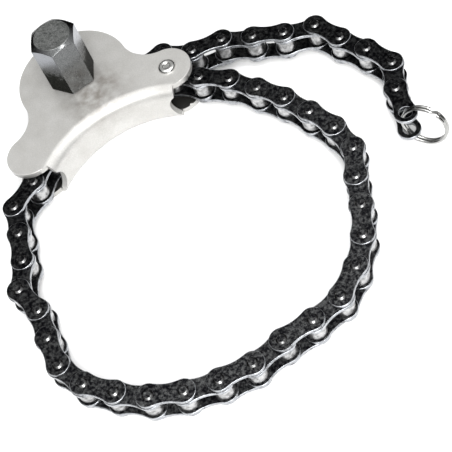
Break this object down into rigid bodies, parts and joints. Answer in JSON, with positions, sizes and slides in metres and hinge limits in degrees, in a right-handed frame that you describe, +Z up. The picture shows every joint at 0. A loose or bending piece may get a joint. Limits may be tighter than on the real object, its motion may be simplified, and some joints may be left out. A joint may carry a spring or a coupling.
{
  "type": "chain oil filter wrench",
  "caption": "Chain wrench for oil filters: folded steel body with a hexagonal drive stud, a toothed hub that feeds a roller chain loop, and a split ring on the chain's free end.",
  "frame": {"origin": "drive stud's axis at the underside of the lower plate", "axes": "+Z up along the drive stud, -Y towards the oil filter, +X towards the anchored end of the chain"},
  "size_m": [0.175, 0.1819, 0.0439],
  "materials": {
    "zinc_plated_sheet": "satin zinc plating",
    "phosphated_steel": "dark phosphate, ground end",
    "hub_steel": "oiled machined steel",
    "spring_steel": "oiled spring steel",
    "bright_rivet": "bright zinc plating",
    "black_oxide_chain": "oiled black oxide with worn bright edges",
    "nickel_wire": "bright nickel"
  },
  "bodies": {
    "wrench_body": {"body_shell": "zinc_plated_sheet", "anchor_rivet": "bright_rivet"},
    "drive": {"hex_stud": "phosphated_steel", "drive_hub": "hub_steel", "retaining_ring": "spring_steel", "spacer_collar": "hub_steel"},
    "chain_in_body": {"chain_link_29": "black_oxide_chain", "chain_link_30": "black_oxide_chain", "chain_link_31": "black_oxide_chain", "chain_link_32": "black_oxide_chain", "chain_link_33": "black_oxide_chain", "chain_link_34": "black_oxide_chain"},
    "link_01": {"chain_link_01": "black_oxide_chain"},
    "link_02": {"chain_link_02": "black_oxide_chain"},
    "link_03": {"chain_link_03": "black_oxide_chain"},
    "link_04": {"chain_link_04": "black_oxide_chain"},
    "link_05": {"chain_link_05": "black_oxide_chain"},
    "link_06": {"chain_link_06": "black_oxide_chain"},
    "link_07": {"chain_link_07": "black_oxide_chain"},
    "link_08": {"chain_link_08": "black_oxide_chain"},
    "link_09": {"chain_link_09": "black_oxide_chain"},
    "link_10": {"chain_link_10": "black_oxide_chain"},
    "link_11": {"chain_link_11": "black_oxide_chain"},
    "link_12": {"chain_link_12": "black_oxide_chain"},
    "link_13": {"chain_link_13": "black_oxide_chain"},
    "link_14": {"chain_link_14": "black_oxide_chain"},
    "link_15": {"chain_link_15": "black_oxide_chain"},
    "link_16": {"chain_link_16": "black_oxide_chain"},
    "link_17": {"chain_link_17": "black_oxide_chain"},
    "link_18": {"chain_link_18": "black_oxide_chain"},
    "link_19": {"chain_link_19": "black_oxide_chain"},
    "link_20": {"chain_link_20": "black_oxide_chain"},
    "link_21": {"chain_link_21": "black_oxide_chain"},
    "link_22": {"chain_link_22": "black_oxide_chain"},
    "link_23": {"chain_link_23": "black_oxide_chain"},
    "link_24": {"chain_link_24": "black_oxide_chain"},
    "link_25": {"chain_link_25": "black_oxide_chain"},
    "link_26": {"chain_link_26": "black_oxide_chain"},
    "link_27": {"chain_link_27": "black_oxide_chain"},
    "link_28": {"chain_link_28": "black_oxide_chain"},
    "link_35": {"chain_link_35": "black_oxide_chain"},
    "link_36": {"chain_link_36": "black_oxide_chain"},
    "link_37": {"chain_link_37": "black_oxide_chain"},
    "link_38": {"chain_link_38": "black_oxide_chain"},
    "link_39": {"chain_link_39": "black_oxide_chain"},
    "link_40": {"chain_link_40": "black_oxide_chain"},
    "link_41": {"chain_link_41": "black_oxide_chain"},
    "link_42": {"chain_link_42": "black_oxide_chain"},
    "link_43": {"chain_link_43": "black_oxide_chain"},
    "link_44": {"chain_link_44": "black_oxide_chain"},
    "pull_ring": {"split_ring": "nickel_wire"}
  },
  "joints": [
    {"name": "chain_feed", "type": "hinge", "parent": "wrench_body", "child": "chain_in_body", "pos_m": [0.02658, -0.11514, 0.00925], "axis": [0, 0, 1], "range_deg": [-3.5, 1]},
    {"name": "stud_turn", "type": "hinge", "parent": "wrench_body", "child": "drive", "pos_m": [0, 0, 0.00925], "axis": [0, 0, 1], "range_deg": [-10.22, 28.6]},
    {"name": "loop_pivot_01", "type": "hinge", "parent": "wrench_body", "child": "link_01", "pos_m": [0.032, -0.0232, 0.00925], "axis": [0, 0, 1], "range_deg": [-1.41, 0.69]},
    {"name": "loop_pivot_02", "type": "hinge", "parent": "link_01", "child": "link_02", "pos_m": [0.04016, -0.03293, 0.00925], "axis": [0, 0, 1], "range_deg": [-0.61, 1.18]},
    {"name": "loop_pivot_03", "type": "hinge", "parent": "link_02", "child": "link_03", "pos_m": [0.04899, -0.04206, 0.00925], "axis": [0, 0, 1], "range_deg": [-1.21, 0.62]},
    {"name": "loop_pivot_04", "type": "hinge", "parent": "link_03", "child": "link_04", "pos_m": [0.05514, -0.05317, 0.00925], "axis": [0, 0, 1], "range_deg": [-0.67, 1.36]},
    {"name": "loop_pivot_05", "type": "hinge", "parent": "link_04", "child": "link_05", "pos_m": [0.06091, -0.06449, 0.00925], "axis": [0, 0, 1], "range_deg": [-1.11, 0.58]},
    {"name": "loop_pivot_06", "type": "hinge", "parent": "link_05", "child": "link_06", "pos_m": [0.06483, -0.07657, 0.00925], "axis": [0, 0, 1], "range_deg": [-0.7, 1.45]},
    {"name": "loop_pivot_07", "type": "hinge", "parent": "link_06", "child": "link_07", "pos_m": [0.06812, -0.08883, 0.00925], "axis": [0, 0, 1], "range_deg": [-1.09, 0.58]},
    {"name": "loop_pivot_08", "type": "hinge", "parent": "link_07", "child": "link_08", "pos_m": [0.06834, -0.10153, 0.00925], "axis": [0, 0, 1], "range_deg": [-0.68, 1.39]},
    {"name": "loop_pivot_09", "type": "hinge", "parent": "link_08", "child": "link_09", "pos_m": [0.06218, -0.11264, 0.00925], "axis": [0, 0, 1], "range_deg": [-1.47, 0.71]},
    {"name": "loop_pivot_10", "type": "hinge", "parent": "link_09", "child": "link_10", "pos_m": [0.05682, -0.12415, 0.00925], "axis": [0, 0, 1], "range_deg": [-0.53, 0.95]},
    {"name": "loop_pivot_11", "type": "hinge", "parent": "link_10", "child": "link_11", "pos_m": [0.05028, -0.13504, 0.00925], "axis": [0, 0, 1], "range_deg": [-1.82, 0.83]},
    {"name": "loop_pivot_12", "type": "hinge", "parent": "link_11", "child": "link_12", "pos_m": [0.0413, -0.14402, 0.00925], "axis": [0, 0, 1], "range_deg": [-0.45, 0.72]},
    {"name": "loop_pivot_13", "type": "hinge", "parent": "link_12", "child": "link_13", "pos_m": [0.03053, -0.15075, 0.00925], "axis": [0, 0, 1], "range_deg": [-1.88, 0.85]},
    {"name": "loop_pivot_14", "type": "hinge", "parent": "link_13", "child": "link_14", "pos_m": [0.01792, -0.15229, 0.00925], "axis": [0, 0, 1], "range_deg": [-0.48, 0.81]},
    {"name": "loop_pivot_15", "type": "hinge", "parent": "link_14", "child": "link_15", "pos_m": [0.00522, -0.15229, 0.00925], "axis": [0, 0, 1], "range_deg": [-1.64, 0.77]},
    {"name": "loop_pivot_16", "type": "hinge", "parent": "link_15", "child": "link_16", "pos_m": [-0.00741, -0.15362, 0.00925], "axis": [0, 0, 1], "range_deg": [-0.59, 1.14]},
    {"name": "loop_pivot_28", "type": "hinge", "parent": "chain_in_body", "child": "link_28", "pos_m": [-0.03674, -0.03261, 0.00925], "axis": [0, 0, 1], "range_deg": [-0.46, 0.36]},
    {"name": "loop_pivot_27", "type": "hinge", "parent": "link_28", "child": "link_27", "pos_m": [-0.04822, -0.03804, 0.00925], "axis": [0, 0, 1], "range_deg": [-0.8, 1.74]},
    {"name": "loop_pivot_26", "type": "hinge", "parent": "link_27", "child": "link_26", "pos_m": [-0.05204, -0.05015, 0.00925], "axis": [0, 0, 1], "range_deg": [-0.94, 0.52]},
    {"name": "loop_pivot_25", "type": "hinge", "parent": "link_26", "child": "link_25", "pos_m": [-0.05596, -0.06223, 0.00925], "axis": [0, 0, 1], "range_deg": [-0.68, 1.38]},
    {"name": "loop_pivot_24", "type": "hinge", "parent": "link_25", "child": "link_24", "pos_m": [-0.06269, -0.073, 0.00925], "axis": [0, 0, 1], "range_deg": [-1.26, 0.64]},
    {"name": "loop_pivot_23", "type": "hinge", "parent": "link_24", "child": "link_23", "pos_m": [-0.06049, -0.08551, 0.00925], "axis": [0, 0, 1], "range_deg": [-0.6, 1.16]},
    {"name": "loop_pivot_22", "type": "hinge", "parent": "link_23", "child": "link_22", "pos_m": [-0.06269, -0.09801, 0.00925], "axis": [0, 0, 1], "range_deg": [-1.48, 0.71]},
    {"name": "loop_pivot_21", "type": "hinge", "parent": "link_22", "child": "link_21", "pos_m": [-0.06402, -0.11064, 0.00925], "axis": [0, 0, 1], "range_deg": [-0.5, 0.87]},
    {"name": "loop_pivot_20", "type": "hinge", "parent": "link_21", "child": "link_20", "pos_m": [-0.06009, -0.12272, 0.00925], "axis": [0, 0, 1], "range_deg": [-1.73, 0.8]},
    {"name": "loop_pivot_19", "type": "hinge", "parent": "link_20", "child": "link_19", "pos_m": [-0.05228, -0.13273, 0.00925], "axis": [0, 0, 1], "range_deg": [-0.48, 0.82]},
    {"name": "loop_pivot_18", "type": "hinge", "parent": "link_19", "child": "link_18", "pos_m": [-0.04314, -0.14155, 0.00925], "axis": [0, 0, 1], "range_deg": [-1.65, 0.77]},
    {"name": "loop_pivot_17", "type": "hinge", "parent": "link_18", "child": "link_17", "pos_m": [-0.03203, -0.14771, 0.00925], "axis": [0, 0, 1], "range_deg": [-0.56, 1.05]},
    {"name": "tail_pivot_01", "type": "hinge", "parent": "chain_in_body", "child": "link_35", "pos_m": [0.03474, -0.01144, 0.00925], "axis": [0, 0, 1], "range_deg": [-1, 22]},
    {"name": "tail_pivot_02", "type": "hinge", "parent": "link_35", "child": "link_36", "pos_m": [0.04475, -0.01926, 0.00925], "axis": [0, 0, -1], "range_deg": [-22, 10]},
    {"name": "tail_pivot_03", "type": "hinge", "parent": "link_36", "child": "link_37", "pos_m": [0.05707, -0.02233, 0.00925], "axis": [0, 0, 1], "range_deg": [-9, 22]},
    {"name": "tail_pivot_04", "type": "hinge", "parent": "link_37", "child": "link_38", "pos_m": [0.06735, -0.0298, 0.00925], "axis": [0, 0, -1], "range_deg": [-22, 10]},
    {"name": "tail_pivot_05", "type": "hinge", "parent": "link_38", "child": "link_39", "pos_m": [0.07775, -0.03708, 0.00925], "axis": [0, 0, 1], "range_deg": [-11, 22]},
    {"name": "tail_pivot_06", "type": "hinge", "parent": "link_39", "child": "link_40", "pos_m": [0.08926, -0.04245, 0.00925], "axis": [0, 0, -1], "range_deg": [-22, 12]},
    {"name": "tail_pivot_07", "type": "hinge", "parent": "link_40", "child": "link_41", "pos_m": [0.09319, -0.05453, 0.00925], "axis": [0, 0, 1], "range_deg": [-15, 22]},
    {"name": "tail_pivot_08", "type": "hinge", "parent": "link_41", "child": "link_42", "pos_m": [0.09794, -0.0663, 0.00925], "axis": [0, 0, -1], "range_deg": [-22, 15]},
    {"name": "tail_pivot_09", "type": "hinge", "parent": "link_42", "child": "link_43", "pos_m": [0.10144, -0.07851, 0.00925], "axis": [0, 0, 1], "range_deg": [-15, 22]},
    {"name": "tail_pivot_10", "type": "hinge", "parent": "link_43", "child": "link_44", "pos_m": [0.09548, -0.08972, 0.00925], "axis": [0, 0, -1], "range_deg": [-22, 15]},
    {"name": "ring_swivel", "type": "hinge", "parent": "link_44", "child": "pull_ring", "pos_m": [0.09177, -0.10187, 0.00925], "axis": [0, 0, 1], "range_deg": [-30, 30]}
  ],
  "couplings": [
    {"joint": "stud_turn", "follows": "chain_feed", "ratio": -7.3515},
    {"joint": "loop_pivot_01", "follows": "chain_feed", "ratio": 0.2872},
    {"joint": "loop_pivot_02", "follows": "chain_feed", "ratio": -0.2284},
    {"joint": "loop_pivot_03", "follows": "chain_feed", "ratio": 0.2375},
    {"joint": "loop_pivot_04", "follows": "chain_feed", "ratio": -0.2747},
    {"joint": "loop_pivot_05", "follows": "chain_feed", "ratio": 0.21},
    {"joint": "loop_pivot_06", "follows": "chain_feed", "ratio": -0.2975},
    {"joint": "loop_pivot_07", "follows": "chain_feed", "ratio": 0.2064},
    {"joint": "loop_pivot_08", "follows": "chain_feed", "ratio": -0.2839},
    {"joint": "loop_pivot_09", "follows": "chain_feed", "ratio": 0.3045},
    {"joint": "loop_pivot_10", "follows": "chain_feed", "ratio": -0.1683},
    {"joint": "loop_pivot_11", "follows": "chain_feed", "ratio": 0.3945},
    {"joint": "loop_pivot_12", "follows": "chain_feed", "ratio": -0.1096},
    {"joint": "loop_pivot_13", "follows": "chain_feed", "ratio": 0.4097},
    {"joint": "loop_pivot_14", "follows": "chain_feed", "ratio": -0.1321},
    {"joint": "loop_pivot_15", "follows": "chain_feed", "ratio": 0.3468},
    {"joint": "loop_pivot_16", "follows": "chain_feed", "ratio": -0.2175},
    {"joint": "loop_pivot_28", "follows": "chain_feed", "ratio": 0.0417},
    {"joint": "loop_pivot_27", "follows": "chain_feed", "ratio": -0.3732},
    {"joint": "loop_pivot_26", "follows": "chain_feed", "ratio": 0.1657},
    {"joint": "loop_pivot_25", "follows": "chain_feed", "ratio": -0.2803},
    {"joint": "loop_pivot_24", "follows": "chain_feed", "ratio": 0.2495},
    {"joint": "loop_pivot_23", "follows": "chain_feed", "ratio": -0.2225},
    {"joint": "loop_pivot_22", "follows": "chain_feed", "ratio": 0.3053},
    {"joint": "loop_pivot_21", "follows": "chain_feed", "ratio": -0.1469},
    {"joint": "loop_pivot_20", "follows": "chain_feed", "ratio": 0.3716},
    {"joint": "loop_pivot_19", "follows": "chain_feed", "ratio": -0.1338},
    {"joint": "loop_pivot_18", "follows": "chain_feed", "ratio": 0.3505},
    {"joint": "loop_pivot_17", "follows": "chain_feed", "ratio": -0.1937}
  ]
}
